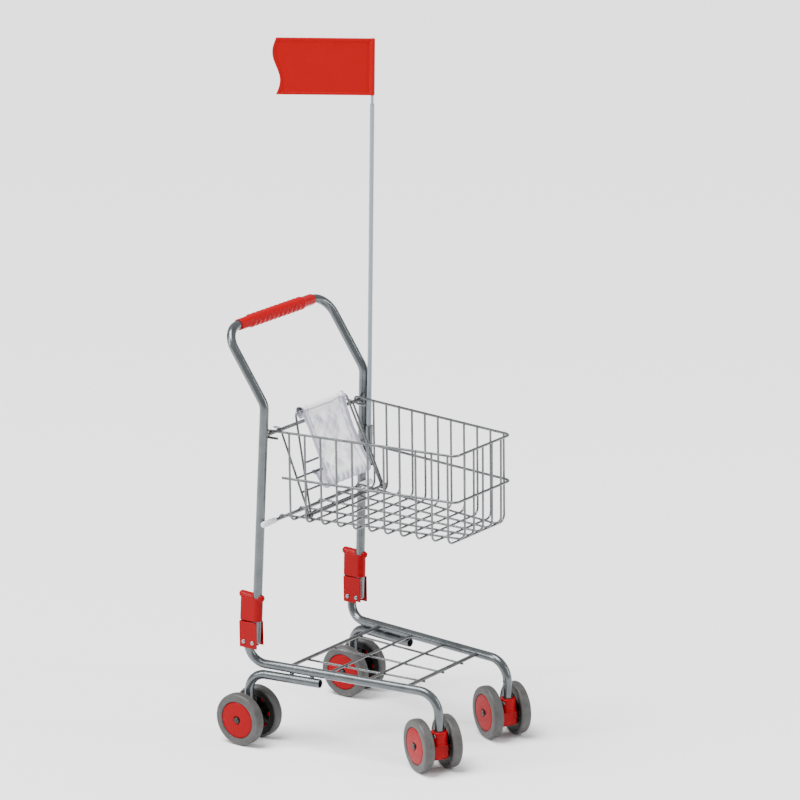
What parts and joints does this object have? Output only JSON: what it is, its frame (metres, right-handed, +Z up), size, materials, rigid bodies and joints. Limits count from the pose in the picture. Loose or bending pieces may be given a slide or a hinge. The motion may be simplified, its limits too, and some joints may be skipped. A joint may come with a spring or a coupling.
{
  "type": "toy shopping trolley",
  "caption": "Child's folding shopping trolley: bent tube frame, hung wire basket with a cloth doll seat, under rack, twin wheels, swivel casters and a flag on a pole.",
  "frame": {"origin": "on the floor under the middle of the overall box", "axes": "+X forward, away from the push bar; +Y to the pusher's left; +Z up"},
  "size_m": [0.3514, 0.288, 0.9053],
  "materials": {
    "frame_steel": "silver-grey lacquered round tube, satin",
    "wire_steel": "silver-grey lacquered wire, satin",
    "zinc": "bright zinc-plated fasteners",
    "red_plastic": "glossy red moulded plastic",
    "red_grip": "soft red ribbed grip sleeve",
    "hub_plastic": "glossy red disc with a black inner side",
    "tyre_rubber": "grey rubber tyre",
    "white_plastic": "white moulded plastic",
    "flag_plastic": "red moulded sheet with a raised border",
    "white_cloth": "white woven cloth with a faint sheen"
  },
  "bodies": {
    "chassis": {"side_tube_right": "frame_steel", "rear_leg_right": "frame_steel", "rear_axle_right": "zinc", "hinge_bracket_right": "red_plastic", "bracket_rivet_right": "zinc", "pivot_rivet_right": "zinc", "caster_socket_right": "red_plastic", "caster_screw_right": "zinc", "side_tube_left": "frame_steel", "rear_leg_left": "frame_steel", "rear_axle_left": "zinc", "hinge_bracket_left": "red_plastic", "bracket_rivet_left": "zinc", "pivot_rivet_left": "zinc", "caster_socket_left": "red_plastic", "caster_screw_left": "zinc", "rack_grille": "wire_steel"},
    "upper_frame": {"handle_hoop": "frame_steel", "handle_grip": "red_grip", "cross_bar": "wire_steel", "flag_pole_holder": "frame_steel", "holder_screw": "zinc"},
    "basket": {"basket_side_right": "wire_steel", "basket_side_left": "wire_steel", "basket_front": "wire_steel", "basket_floor": "wire_steel", "basket_rear_bar": "wire_steel", "bar_cap_right": "white_plastic", "bar_cap_left": "white_plastic", "seat_hinge_bar": "wire_steel"},
    "seat": {"gate_frame": "wire_steel", "back_frame": "wire_steel", "seat_cloth": "white_cloth"},
    "pole": {"flag_pole": "white_plastic"},
    "flag": {"flag": "flag_plastic"},
    "collar_right": {"lock_collar_right": "red_plastic"},
    "collar_left": {"lock_collar_left": "red_plastic"},
    "caster_right": {"caster_fork_right": "red_plastic", "caster_axle_right": "zinc"},
    "wheel_front_right_outer": {"tyre_front_right_outer": "tyre_rubber", "hub_front_right_outer": "hub_plastic"},
    "wheel_rear_right_outer": {"tyre_rear_right_outer": "tyre_rubber", "hub_rear_right_outer": "hub_plastic"},
    "wheel_front_right_inner": {"tyre_front_right_inner": "tyre_rubber", "hub_front_right_inner": "hub_plastic"},
    "wheel_rear_right_inner": {"tyre_rear_right_inner": "tyre_rubber", "hub_rear_right_inner": "hub_plastic"},
    "caster_left": {"caster_fork_left": "red_plastic", "caster_axle_left": "zinc"},
    "wheel_front_left_outer": {"tyre_front_left_outer": "tyre_rubber", "hub_front_left_outer": "hub_plastic"},
    "wheel_rear_left_outer": {"tyre_rear_left_outer": "tyre_rubber", "hub_rear_left_outer": "hub_plastic"},
    "wheel_front_left_inner": {"tyre_front_left_inner": "tyre_rubber", "hub_front_left_inner": "hub_plastic"},
    "wheel_rear_left_inner": {"tyre_rear_left_inner": "tyre_rubber", "hub_rear_left_inner": "hub_plastic"}
  },
  "joints": [
    {"name": "frame_fold", "type": "hinge", "parent": "chassis", "child": "upper_frame", "pos_m": [-0.11588, 0, 0.137], "axis": [0, 1, 0], "range_deg": [0, 62]},
    {"name": "basket_swing", "type": "hinge", "parent": "upper_frame", "child": "basket", "pos_m": [-0.10108, 0, 0.4158], "axis": [0, 1, 0], "range_deg": [-62, 0]},
    {"name": "seat_fold", "type": "hinge", "parent": "basket", "child": "seat", "pos_m": [-0.05008, 0, 0.3115], "axis": [0, 1, 0], "range_deg": [0, 50]},
    {"name": "collar_slide_right", "type": "slide", "parent": "upper_frame", "child": "collar_right", "axis": [0.053, 0.02, 0.9984], "range_m": [0, 0.038]},
    {"name": "collar_slide_left", "type": "slide", "parent": "upper_frame", "child": "collar_left", "axis": [0.053, -0.02, 0.9984], "range_m": [0, 0.038]},
    {"name": "pole_lift", "type": "slide", "parent": "upper_frame", "child": "pole", "axis": [0.043, -0.0195, 0.9989], "range_m": [0, 0.05]},
    {"name": "flag_turn", "type": "hinge", "parent": "pole", "child": "flag", "pos_m": [-0.07363, 0.09976, 0.81546], "axis": [0.043, -0.0195, 0.9989], "continuous": true},
    {"name": "caster_swivel_right", "type": "hinge", "parent": "chassis", "child": "caster_right", "pos_m": [0.14892, -0.077, 0.038], "axis": [0, 0, 1], "continuous": true},
    {"name": "spin_front_right_outer", "type": "hinge", "parent": "caster_right", "child": "wheel_front_right_outer", "pos_m": [0.12445, -0.08651, 0.035], "axis": [0.4756, 0.8796, 0], "continuous": true},
    {"name": "spin_rear_right_outer", "type": "hinge", "parent": "chassis", "child": "wheel_rear_right_outer", "pos_m": [-0.12808, -0.135, 0.035], "axis": [0, 1, 0], "continuous": true},
    {"name": "spin_front_right_inner", "type": "hinge", "parent": "caster_right", "child": "wheel_front_right_inner", "pos_m": [0.14348, -0.05132, 0.035], "axis": [0.4756, 0.8796, 0], "continuous": true},
    {"name": "spin_rear_right_inner", "type": "hinge", "parent": "chassis", "child": "wheel_rear_right_inner", "pos_m": [-0.12808, -0.095, 0.035], "axis": [0, 1, 0], "continuous": true},
    {"name": "caster_swivel_left", "type": "hinge", "parent": "chassis", "child": "caster_left", "pos_m": [0.14892, 0.077, 0.038], "axis": [0, 0, 1], "continuous": true},
    {"name": "spin_front_left_outer", "type": "hinge", "parent": "caster_left", "child": "wheel_front_left_outer", "pos_m": [0.14348, 0.10268, 0.035], "axis": [0.4756, 0.8796, 0], "continuous": true},
    {"name": "spin_rear_left_outer", "type": "hinge", "parent": "chassis", "child": "wheel_rear_left_outer", "pos_m": [-0.12808, 0.135, 0.035], "axis": [0, 1, 0], "continuous": true},
    {"name": "spin_front_left_inner", "type": "hinge", "parent": "caster_left", "child": "wheel_front_left_inner", "pos_m": [0.12445, 0.06749, 0.035], "axis": [0.4756, 0.8796, 0], "continuous": true},
    {"name": "spin_rear_left_inner", "type": "hinge", "parent": "chassis", "child": "wheel_rear_left_inner", "pos_m": [-0.12808, 0.095, 0.035], "axis": [0, 1, 0], "continuous": true}
  ],
  "couplings": [
    {"joint": "basket_swing", "follows": "frame_fold", "ratio": -1}
  ]
}
